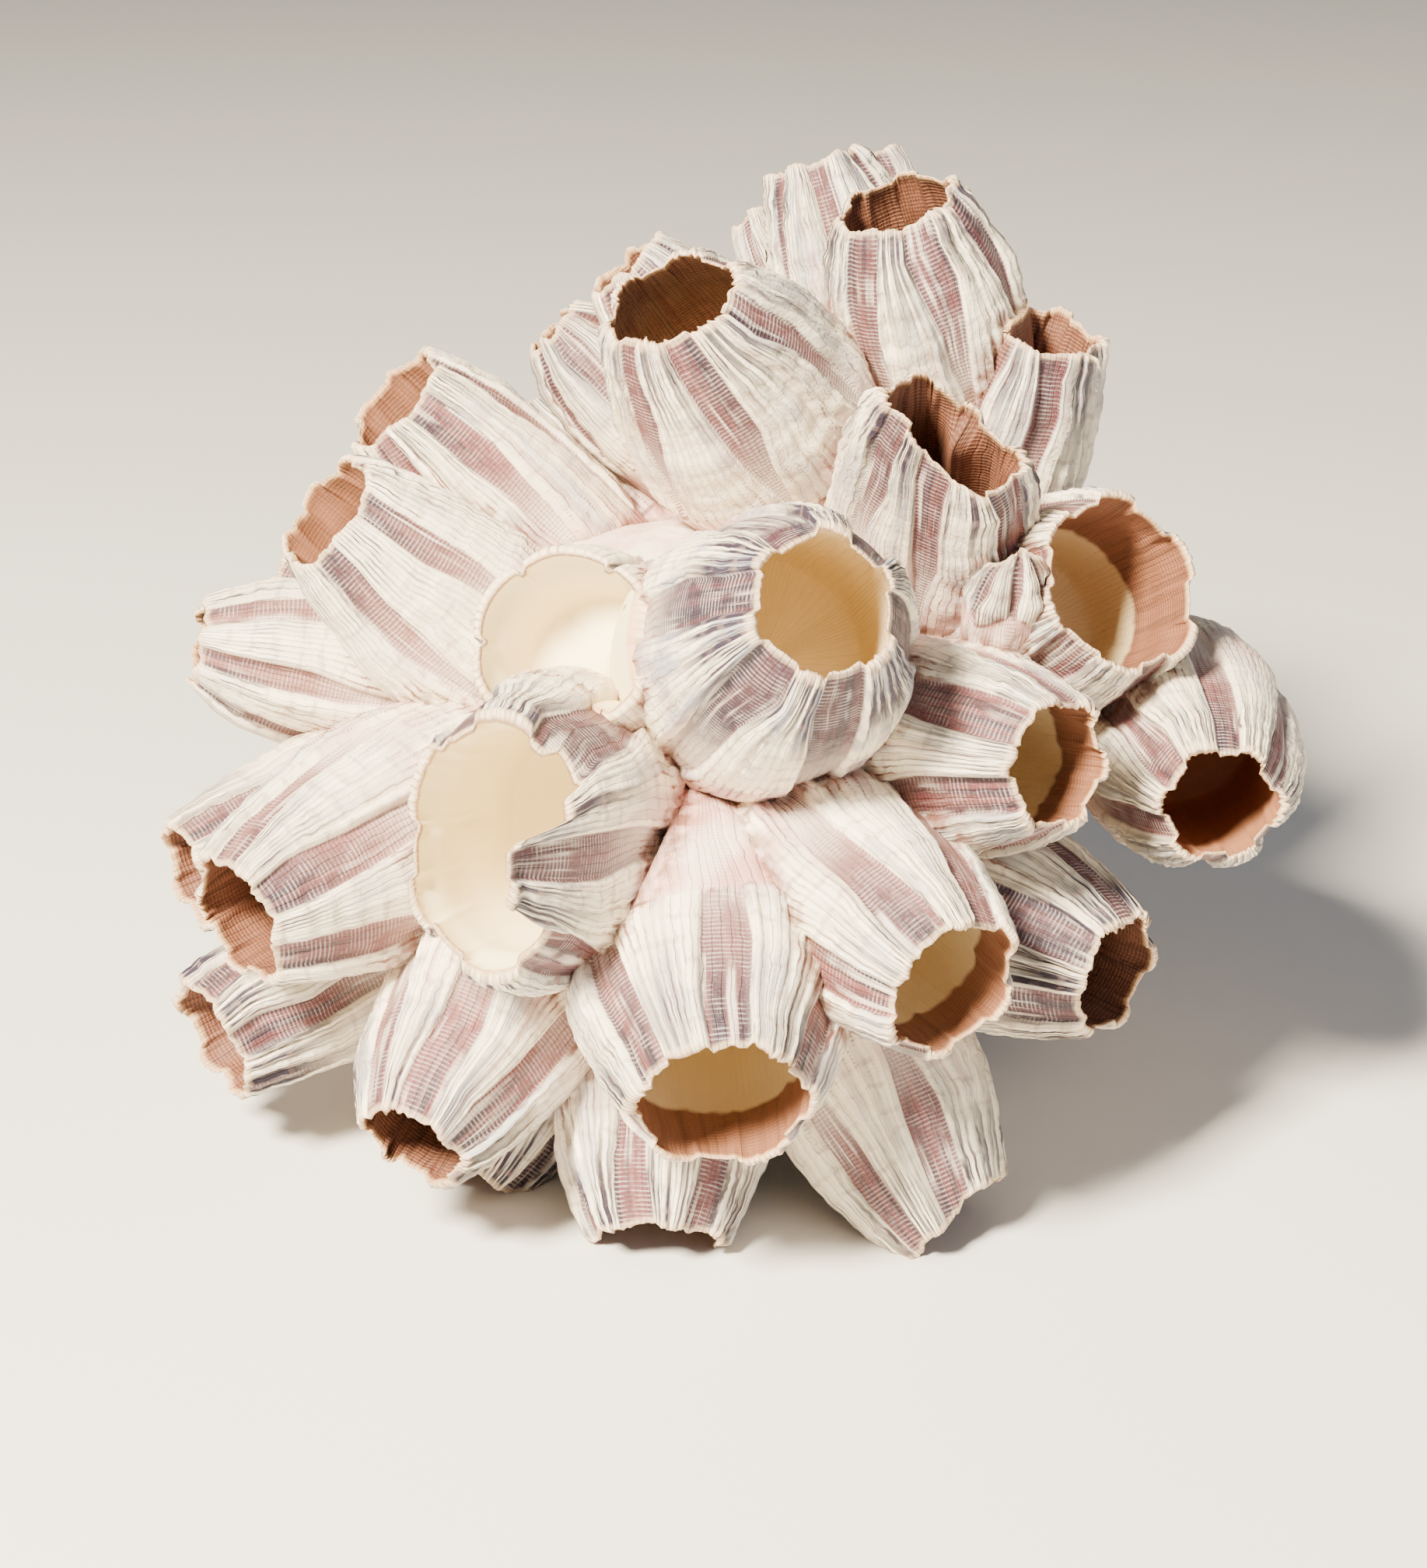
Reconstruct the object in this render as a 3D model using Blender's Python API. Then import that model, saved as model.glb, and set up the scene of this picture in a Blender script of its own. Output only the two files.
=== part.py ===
"""A clump of dead acorn barnacles that grew on one another in a ball.

Each barnacle is one hollow shell of six plates, so each is one object.
A shell stands on its foot, deep in the clump, and opens at its mouth.
The oldest, grown-together bases are one more object, between the shells.
"""

import math
import random

import bmesh
import bpy
from mathutils import Vector

MM = 0.001

# Places below are measured from the middle of the clump on the floor.
# This shift brings the middle of the finished box to X = 0 and Y = 0.
SHIFT_X = -0.86
SHIFT_Y = 1.19

# Sizes that every shell shares, in millimetres unless a name says otherwise.
PLATES = 6
GAP = 0.3
WALL = 1.3
PLATE_RISE = 0.5
SEAM_SINK = 0.7
TIP_RISE = 1.3
TIP_RANGE = (0.5, 1.3)
SEAM_DROP = 0.9
SEAM_JITTER = 0.09

# What a shell has where its own values don't say otherwise.
BELLY_AT = 0.45
FLOOR_AT = 0.42
TOOTH = 0.6

# The wall closes above its widest part as an arc, with some of a cone in it.
ARC_SHARE = 0.7
CONE_POWER = 1.4

# Shares of the length at which the plates and an oval mouth are at their full size.
PLATES_FULL_AT = 0.45
OVAL_FULL_AT = 0.5

# The hollow's floor is this much narrower than its mouth.
FLOOR_SHARE = 0.8

# How far along each ring stands. Small shells have fewer.
SMALL_GIRTH = 9
SMALL_STEPS = (0.0, 0.45, 1.0)
OUTER_STEPS = (0.0, 0.33, 0.68, 1.0)
INNER_STEPS = (1.0, 0.0)

# The block below the floor, which wears the lowest rims flat.
BLOCK_WIDTH = 300.0
BLOCK_DEPTH = 20.0

# Lumps of the bases larger than this are rounder.
ROUND_LUMP = 16

# Points this close are one, and faces this near to level with each other too.
MERGE_DISTANCE = 0.004
FLAT_ANGLE = math.radians(2)
SHARP_ANGLE = math.radians(40)

# The shortest edges that a cut may leave, coarsest first.
SHORTEST_EDGES = (0.25, 0.1, 0.03, 0.0)

# Each shell: the middle of its foot and of its mouth, the radius of its lip,
# of its widest part (girth) and of its foot (heel). belly is how far along
# the shell the widest part is, tooth how jagged the rim is, oval how much
# wider the mouth is one way, and lean how far the rim is higher on one side.
# Earlier shells are whole, and later ones were crowded by them.
SHELLS = {
    "centre": dict(foot=(1, -8.5, 53), mouth=(10.5, -42.5, 75), lip=7.2, girth=14.3, heel=11),
    "shoulder_big": dict(
        foot=(8.5, 12.5, 72), mouth=(-5, -4, 94), lip=6.9, girth=13, heel=12,
        belly=0.3, lean=1.6, lean_at=270),
    "crown_top": dict(foot=(27.5, 18, 74), mouth=(19.5, 12, 101.5), lip=6.6, girth=10.3, heel=8, belly=0.55),
    "far_right": dict(foot=(50.5, 17.5, 44), mouth=(52.5, -24, 46.5), lip=6.2, girth=12, heel=8),
    "broken": dict(
        foot=(-10, -9.5, 40), mouth=(-21, -44, 50.5), lip=11, girth=14, heel=10,
        belly=0.6, tooth=0.3, oval=-0.13, lean=3, lean_at=0, floor=0.35),
    "front_low": dict(foot=(-2.5, -13.5, 40), mouth=(1, -52, 26.5), lip=8.6, girth=15, heel=10),
    "twin": dict(
        foot=(23.2, 4, 56.5), mouth=(23.2, -14.5, 84), lip=7.2, girth=9.3, heel=7.5,
        oval=0.22, lean=3.8, lean_at=180),
    "right_mid": dict(foot=(9.5, -4.5, 47), mouth=(34.5, -33.5, 55), lip=6.6, girth=11.7, heel=9),
    "right_low": dict(foot=(3.5, -13, 42), mouth=(23.5, -47.5, 37), lip=7.4, girth=12.5, heel=9),
    "left_low": dict(foot=(-13.5, -7, 32.5), mouth=(-31, -40, 15.5), lip=5.8, girth=11.8, heel=9),
    "left_up": dict(
        foot=(-15.5, 0.5, 48), mouth=(-41.5, -2.5, 71.5), lip=6.6, girth=10.8, heel=9,
        lean=2.2, lean_at=180),
    "left_mid": dict(foot=(-19.5, -1.5, 42.5), mouth=(-49, -30.5, 36.5), lip=6.8, girth=12.2, heel=9),
    "scar": dict(
        foot=(-8.5, -8.5, 53), mouth=(-15, -27, 65.5), lip=8.8, girth=10.5, heel=10,
        belly=0.7, tooth=0.1, floor=0.55),
    "wing_wide": dict(foot=(28, 10, 50), mouth=(42.5, -13, 67), lip=9.4, girth=12.5, heel=9),
    "right_outer": dict(foot=(8, 1, 33.5), mouth=(42, -29, 29.5), lip=6.6, girth=12.2, heel=8),
    "foot_front": dict(foot=(-3.5, -5, 31), mouth=(-6, -35, 1), lip=7, girth=12.4, heel=9),
    "foot_right": dict(
        foot=(7, -6, 30), mouth=(24.5, -32, 1.5), lip=7, girth=12, heel=9,
        lean=2.5, lean_at=180),
    "left_top": dict(
        foot=(-10.5, 15.5, 53), mouth=(-35.5, 15.5, 79), lip=6.5, girth=10.2, heel=9,
        lean=2.2, lean_at=180),
    "foot_left": dict(foot=(-12, 0, 28), mouth=(-27.5, -20.5, 0.5), lip=6.5, girth=11, heel=8),
    "left_outer": dict(foot=(-24, 10, 39.5), mouth=(-57.5, -10.5, 32.5), lip=6, girth=9.2, heel=8),
    "left_under": dict(foot=(-25, 6, 24.5), mouth=(-55, -15.5, 15), lip=7, girth=9.6, heel=8),
    "left_fin": dict(foot=(-28, 10.5, 46), mouth=(-57.5, 5.5, 53.5), lip=4.6, girth=9.5, heel=7),
    "wing_up": dict(foot=(30, 16, 59.5), mouth=(36, 10.5, 88), lip=6.2, girth=8.4, heel=8),
    "crown_behind": dict(foot=(19, 28.5, 78), mouth=(11.5, 34, 101.5), lip=5, girth=8, heel=6),
    "shoulder_behind": dict(foot=(7.5, 21, 71.5), mouth=(-10, 21.5, 92.5), lip=4.6, girth=8, heel=6),
    "shoulder_small": dict(foot=(-1.5, 22.5, 68.5), mouth=(-18, 23.5, 85), lip=3.4, girth=7.3, heel=6),
    "crown_back": dict(foot=(21.5, 37.5, 79.5), mouth=(17, 47.5, 98.5), lip=5, girth=7.5, heel=6),
    "crown_side": dict(foot=(16.5, 32, 77), mouth=(6, 41.5, 94), lip=4, girth=6.5, heel=5),
    "foot_back_right": dict(foot=(7, 6, 30), mouth=(24, 30, 1), lip=7, girth=11.5, heel=9),
    "foot_back_left": dict(foot=(-10, 8, 30), mouth=(-22, 32, 1), lip=6.5, girth=11, heel=9),
    "back_mid": dict(foot=(-3, 18, 42), mouth=(-4, 52, 44), lip=7, girth=13, heel=10),
    "back_right": dict(foot=(12, 14, 48), mouth=(38, 40, 54), lip=6.5, girth=12, heel=9),
    "back_left": dict(foot=(-16, 12, 42), mouth=(-42, 34, 46), lip=6, girth=11, heel=9),
    "back_upper": dict(foot=(2, 22, 54), mouth=(5, 50, 67), lip=6.5, girth=10.5, heel=8),
    "back_low_right": dict(foot=(8, 14, 34), mouth=(30, 42, 22), lip=7, girth=12, heel=9),
    "back_low_left": dict(foot=(-12, 14, 32), mouth=(-32, 42, 20), lip=6.5, girth=12, heel=9),
    "back_wing": dict(foot=(26, 20, 50), mouth=(46, 44, 38), lip=6, girth=10, heel=8),
    "back_crown": dict(foot=(26, 24, 66), mouth=(30, 46, 78), lip=5.2, girth=8.2, heel=6),
    "under_right": dict(foot=(10, 4, 30), mouth=(35, 12, 9), lip=6.3, girth=10.5, heel=8),
    "nook_back": dict(foot=(-2, 22, 56), mouth=(-20, 38.5, 70), lip=5, girth=8, heel=7),
    "left_bud": dict(foot=(-32, 17, 46), mouth=(-50.5, 19.5, 56.5), lip=4, girth=6.5, heel=5),
    "wing_bud": dict(
        foot=(30, -12, 59), mouth=(31.2, -16, 70.5), lip=2.6, girth=4.4, heel=4,
        tooth=0.2, lean=2, lean_at=270),
    "nook_bud": dict(
        foot=(-7, 0, 57), mouth=(-9.5, -12.5, 68.5), lip=2.6, girth=5, heel=5, tooth=0.15),
}

# The grown-together bases: the middle and radius of each lump.
BASE_LUMPS = (
    ((-3, 4, 42), 25),
    ((-3, 10, 26), 18),
    ((-20, 8, 46), 17),
    ((20, 14, 62), 18),
    ((31, 14, 48), 15),
    ((44, 17, 45), 11),
    ((16, 27, 74), 12),
)

SHELL_COLOUR = (0.74, 0.62, 0.58)
SHELL_ROUGHNESS = 0.65
BASE_COLOUR = (0.80, 0.62, 0.57)
BASE_ROUGHNESS = 0.7


def make_material(name, colour, roughness):
    """Give one piece its own plain finish."""
    material = bpy.data.materials.new(name)
    material.use_nodes = True
    principled = material.node_tree.nodes["Principled BSDF"]
    principled.inputs["Base Color"].default_value = (*colour, 1.0)
    principled.inputs["Roughness"].default_value = roughness
    principled.inputs["Metallic"].default_value = 0.0
    return material


def add_object(name, mesh):
    """Put a mesh in the scene as a named object."""
    item = bpy.data.objects.new(name, mesh)
    bpy.context.scene.collection.objects.link(item)
    return item


def shell_frame(foot, mouth):
    """Return two directions across a shell, one level and one upward, and its axis."""
    axis = (Vector(mouth) - Vector(foot)).normalized()
    level = Vector((0, 0, 1)).cross(axis).normalized()
    return level, axis.cross(level), axis


def plate_traits(name):
    """Return the places of the six seams, in turns, and the height of the six tips."""
    chance = random.Random(name)
    start = chance.uniform(0, 1 / PLATES)
    seams = [start + (k + chance.uniform(-SEAM_JITTER, SEAM_JITTER)) / PLATES for k in range(PLATES)]
    tips = [chance.uniform(*TIP_RANGE) for _ in range(PLATES)]
    return seams, tips


def column_angles(name):
    """Return the angle of each seam and each plate's middle, with its rim height."""
    seams, tips = plate_traits(name)
    columns = []
    for k, seam in enumerate(seams):
        following = seams[(k + 1) % PLATES] + (1 if k == PLATES - 1 else 0)
        columns.append((seam * 2 * math.pi, None))
        columns.append(((seam + following) * math.pi, tips[k]))
    return columns


def outer_radius(shell, along):
    """Return the plain radius at a fraction of the way from foot to mouth."""
    belly = shell.get("belly", BELLY_AT)
    if along < belly:
        swell = math.sin(math.pi / 2 * along / belly)
        return shell["heel"] + (shell["girth"] - shell["heel"]) * swell
    closing = (along - belly) / (1 - belly)
    reach = math.sqrt(1 - (shell["lip"] / shell["girth"]) ** 2)
    arc = shell["girth"] * math.sqrt(1 - (min(closing, 1.0) * reach) ** 2)
    cone = shell["girth"] + (shell["lip"] - shell["girth"]) * closing ** CONE_POWER
    return ARC_SHARE * arc + (1 - ARC_SHARE) * cone


def rim_height(shell, angle, tip):
    """Return how far the rim stands above the mouth's middle, at one angle."""
    tooth = shell.get("tooth", TOOTH)
    height = -SEAM_DROP * tooth if tip is None else TIP_RISE * tooth * tip
    lean_at = math.radians(shell.get("lean_at", 0))
    return height + shell.get("lean", 0) * math.cos(angle - lean_at)


def ring_point(shell, along, radius, angle):
    """Return a point at a distance along a shell and a radius from its axis."""
    level, upward, axis = shell_frame(shell["foot"], shell["mouth"])
    length = (Vector(shell["mouth"]) - Vector(shell["foot"])).length
    stretch = 1 + shell.get("oval", 0) * math.cos(2 * angle) * min(along / OVAL_FULL_AT, 1)
    reach = radius * stretch
    middle = Vector(shell["foot"]) + axis * along * length
    return middle + level * reach * math.cos(angle) + upward * reach * math.sin(angle)


def outer_rings(name, shell, grow):
    """Return the rings of the outer wall, from foot to rim, grown by a margin."""
    length = (Vector(shell["mouth"]) - Vector(shell["foot"])).length
    rings = []
    for step in SMALL_STEPS if shell["girth"] < SMALL_GIRTH else OUTER_STEPS:
        ring = []
        for angle, tip in column_angles(name):
            along = step * (1 + (rim_height(shell, angle, tip) + grow) / length)
            relief = -SEAM_SINK if tip is None else PLATE_RISE
            relief *= min(step / PLATES_FULL_AT, 1)
            radius = outer_radius(shell, min(along, 1.0)) + relief + grow
            ring.append(ring_point(shell, along, radius, angle))
        rings.append(ring)
    return rings


def inner_rings(name, shell):
    """Return the rings of the hollow, from the rim down to its floor."""
    length = (Vector(shell["mouth"]) - Vector(shell["foot"])).length
    floor_at = shell.get("floor", FLOOR_AT)
    rings = []
    for step in INNER_STEPS:
        ring = []
        for angle, tip in column_angles(name):
            rim = 1 + rim_height(shell, angle, tip) / length
            along = floor_at + (rim - floor_at) * step
            relief = -SEAM_SINK if tip is None else PLATE_RISE
            radius = shell["lip"] + relief - WALL
            if step == 0:
                radius *= FLOOR_SHARE
            ring.append(ring_point(shell, along, radius, angle))
        rings.append(ring)
    return rings


def closed_mesh(name, rings, first_pole, last_pole):
    """Skin rings into a closed mesh with a fan of triangles at each end."""
    mesh_data = bmesh.new()
    rows = []
    for ring in rings:
        rows.append([mesh_data.verts.new(point * MM) for point in ring])
    columns = len(rows[0])
    for lower, upper in zip(rows, rows[1:]):
        for k in range(columns):
            following = (k + 1) % columns
            mesh_data.faces.new((lower[k], lower[following], upper[following], upper[k]))
    first = mesh_data.verts.new(first_pole * MM)
    last = mesh_data.verts.new(last_pole * MM)
    for k in range(columns):
        following = (k + 1) % columns
        mesh_data.faces.new((first, rows[0][following], rows[0][k]))
        mesh_data.faces.new((last, rows[-1][k], rows[-1][following]))
    bmesh.ops.triangulate(mesh_data, faces=mesh_data.faces)
    bmesh.ops.recalc_face_normals(mesh_data, faces=mesh_data.faces)
    mesh = bpy.data.meshes.new(name)
    mesh_data.to_mesh(mesh)
    mesh_data.free()
    return mesh


def middle_of(points):
    """Return the average of a ring's points."""
    return sum(points, Vector()) / len(points)


def make_shell(name, shell):
    """Model one hollow shell, before its neighbours crowd it."""
    rings = outer_rings(name, shell, 0) + inner_rings(name, shell)
    foot_pole = middle_of(rings[0])
    floor_pole = middle_of(rings[-1])
    return add_object("barnacle_" + name, closed_mesh(name, rings, foot_pole, floor_pole))


def make_envelope(name, shell):
    """Model the room that a shell takes up: its outside, closed over the mouth, and a gap."""
    rings = outer_rings(name, shell, GAP)
    axis = shell_frame(shell["foot"], shell["mouth"])[2]
    foot_pole = middle_of(rings[0]) - axis * GAP
    mouth_pole = middle_of(rings[-1])
    envelope = add_object(name + ".room", closed_mesh(name + ".room", rings, foot_pole, mouth_pole))
    return as_cutter(envelope)


def as_cutter(item):
    """Mark an object as one that only cuts others."""
    item.hide_render = True
    item.display_type = "WIRE"
    return item


def make_lump(centre, radius):
    """Model one lump of the grown-together bases."""
    mesh_data = bmesh.new()
    fineness = 2 if radius > ROUND_LUMP else 1
    bmesh.ops.create_icosphere(mesh_data, subdivisions=fineness, radius=radius * MM)
    bmesh.ops.translate(mesh_data, verts=mesh_data.verts, vec=Vector(centre) * MM)
    mesh = bpy.data.meshes.new("lump")
    mesh_data.to_mesh(mesh)
    mesh_data.free()
    return add_object("lump", mesh)


def add_boolean(item, other, operation):
    """Add a Boolean modifier to an object."""
    modifier = item.modifiers.new(operation.lower(), "BOOLEAN")
    modifier.operation = operation
    modifier.object = other
    modifier.solver = "EXACT"


def settle(item):
    """Turn an object's modifiers into its own mesh."""
    graph = bpy.context.evaluated_depsgraph_get()
    mesh = bpy.data.meshes.new_from_object(item.evaluated_get(graph))
    item.modifiers.clear()
    item.data = mesh


def islands_of(mesh_data):
    """Return the separate bodies of a mesh, as lists of faces."""
    waiting = set(mesh_data.faces)
    islands = []
    while waiting:
        front = [waiting.pop()]
        island = []
        while front:
            face = front.pop()
            island.append(face)
            for edge in face.edges:
                for other in edge.link_faces:
                    if other in waiting:
                        waiting.remove(other)
                        front.append(other)
        islands.append(island)
    return islands


def box_size(faces):
    """Return the diagonal of the box around some faces."""
    corners = [vert.co for face in faces for vert in face.verts]
    low = Vector([min(corner[k] for corner in corners) for k in range(3)])
    high = Vector([max(corner[k] for corner in corners) for k in range(3)])
    return (high - low).length


def main_body(mesh, shortest):
    """Return a cut mesh without its loose chips, its short edges merged away."""
    mesh_data = bmesh.new()
    mesh_data.from_mesh(mesh)
    bmesh.ops.remove_doubles(mesh_data, verts=mesh_data.verts, dist=MERGE_DISTANCE * MM)
    bmesh.ops.dissolve_degenerate(mesh_data, edges=mesh_data.edges, dist=shortest * MM)
    bmesh.ops.dissolve_limit(
        mesh_data, angle_limit=FLAT_ANGLE, verts=mesh_data.verts, edges=mesh_data.edges)
    bmesh.ops.triangulate(mesh_data, faces=mesh_data.faces)
    islands = sorted(islands_of(mesh_data), key=box_size)
    chips = [face for island in islands[:-1] for face in island]
    bmesh.ops.delete(mesh_data, geom=chips, context="FACES")
    loose = [vert for vert in mesh_data.verts if not vert.link_faces]
    bmesh.ops.delete(mesh_data, geom=loose, context="VERTS")
    return mesh_data


def is_closed(mesh_data):
    """Tell whether every edge joins two faces."""
    return all(len(edge.link_faces) == 2 for edge in mesh_data.edges)


def keep_main_body(item):
    """Simplify a cut object as far as it stays closed."""
    for shortest in SHORTEST_EDGES:
        mesh_data = main_body(item.data, shortest)
        if is_closed(mesh_data):
            break
        mesh_data.free()
    mesh_data.to_mesh(item.data)
    mesh_data.free()


def reach_of(shell):
    """Return a shell's middle and the radius of a ball around it."""
    foot = Vector(shell["foot"])
    mouth = Vector(shell["mouth"])
    return (foot + mouth) / 2, (mouth - foot).length / 2 + shell["girth"]


def may_touch(first, second):
    """Tell whether two shells are near enough to press on each other."""
    first_middle, first_reach = reach_of(first)
    second_middle, second_reach = reach_of(second)
    return (first_middle - second_middle).length < first_reach + second_reach


def remove_start_objects():
    """Empty the scene."""
    for item in list(bpy.data.objects):
        bpy.data.objects.remove(item)


def make_bases():
    """Model the grown-together bases, and the room that they take up."""
    pieces = []
    for name, extra in (("fused_bases", 0), ("fused_bases.room", GAP)):
        lumps = [make_lump(centre, radius + extra) for centre, radius in BASE_LUMPS]
        whole = lumps[0]
        whole.name = name
        for lump in lumps[1:]:
            add_boolean(whole, lump, "UNION")
        settle(whole)
        keep_main_body(whole)
        for lump in lumps[1:]:
            bpy.data.objects.remove(lump)
        pieces.append(whole)
    return pieces[0], as_cutter(pieces[1])


def make_floor_cutter():
    """Model the block below the floor that wears the lowest rims flat."""
    mesh_data = bmesh.new()
    bmesh.ops.create_cube(mesh_data, size=1)
    bmesh.ops.scale(mesh_data, verts=mesh_data.verts, vec=Vector((BLOCK_WIDTH, BLOCK_WIDTH, BLOCK_DEPTH)) * MM)
    bmesh.ops.translate(mesh_data, verts=mesh_data.verts, vec=Vector((0, 0, -BLOCK_DEPTH / 2)) * MM)
    mesh = bpy.data.meshes.new("below_floor")
    mesh_data.to_mesh(mesh)
    mesh_data.free()
    return as_cutter(add_object("below_floor", mesh))


def lowest_point(item):
    """Return the height of an object's lowest point."""
    return min(vert.co.z for vert in item.data.vertices)


def main():
    remove_start_objects()
    bases, bases_room = make_bases()
    floor = make_floor_cutter()
    rooms = {}
    shells = {}
    for name, shell in SHELLS.items():
        item = make_shell(name, shell)
        add_boolean(item, bases_room, "DIFFERENCE")
        for earlier, room in rooms.items():
            if may_touch(shell, SHELLS[earlier]):
                add_boolean(item, room, "DIFFERENCE")
        if lowest_point(item) < 0:
            add_boolean(item, floor, "DIFFERENCE")
        settle(item)
        keep_main_body(item)
        shells[name] = item
        rooms[name] = make_envelope(name, shell)
    for cutter in (bases_room, floor, *rooms.values()):
        bpy.data.objects.remove(cutter)
    bases.data.materials.append(make_material("shell_base", BASE_COLOUR, BASE_ROUGHNESS))
    for name, item in shells.items():
        item.data.materials.append(make_material(name + "_shell", SHELL_COLOUR, SHELL_ROUGHNESS))
    shift = Vector((SHIFT_X, SHIFT_Y, 0)) * MM
    for item in (bases, *shells.values()):
        item.data.shade_smooth()
        item.data.set_sharp_from_angle(angle=SHARP_ANGLE)
        for vert in item.data.vertices:
            vert.co += shift


main()
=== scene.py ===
# %% [markdown]
# # A barnacle cluster
# This file dresses a clump of forty-three acorn barnacle shells. Each shell is one
# curved surface worked out with numpy, and two finishes cover them all: the striped
# shell of six plates, and the smooth older bases between them. The plain solids of the
# same shells are loaded first, so that every surface can stand exactly in their place.

import math
import random

import bpy
import numpy as np
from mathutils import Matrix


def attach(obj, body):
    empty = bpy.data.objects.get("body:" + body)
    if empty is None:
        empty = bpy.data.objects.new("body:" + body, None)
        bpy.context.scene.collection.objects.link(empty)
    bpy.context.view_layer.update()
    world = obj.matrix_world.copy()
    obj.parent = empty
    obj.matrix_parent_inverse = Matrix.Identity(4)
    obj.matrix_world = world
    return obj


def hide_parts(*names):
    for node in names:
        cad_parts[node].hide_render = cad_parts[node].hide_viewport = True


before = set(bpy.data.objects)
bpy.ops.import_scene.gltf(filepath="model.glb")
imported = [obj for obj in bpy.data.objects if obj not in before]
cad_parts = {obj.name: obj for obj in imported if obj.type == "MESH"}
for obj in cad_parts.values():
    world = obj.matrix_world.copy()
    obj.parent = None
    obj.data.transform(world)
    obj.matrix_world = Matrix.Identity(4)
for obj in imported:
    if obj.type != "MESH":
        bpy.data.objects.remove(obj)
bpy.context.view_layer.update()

# %% [markdown]
# ## Where the shells stand
# A barnacle cements its foot to whatever it settled on and grows outwards, so a shell
# is fully placed by the middle of its foot and the middle of its mouth. Three radii
# then give its size: the lip at the mouth, the girth at the widest part and the heel
# at the foot. The numbers are millimetres. They repeat the solids' own, but for a few
# rims that lie a little closer to the photograph here. The order tells who grew first:
# a shell is crowded only by those above it in the list.

# %% Places and sizes, in millimetres
MM = 0.001
SHIFT = np.array([-0.86, 1.19, 0.0])

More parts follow.
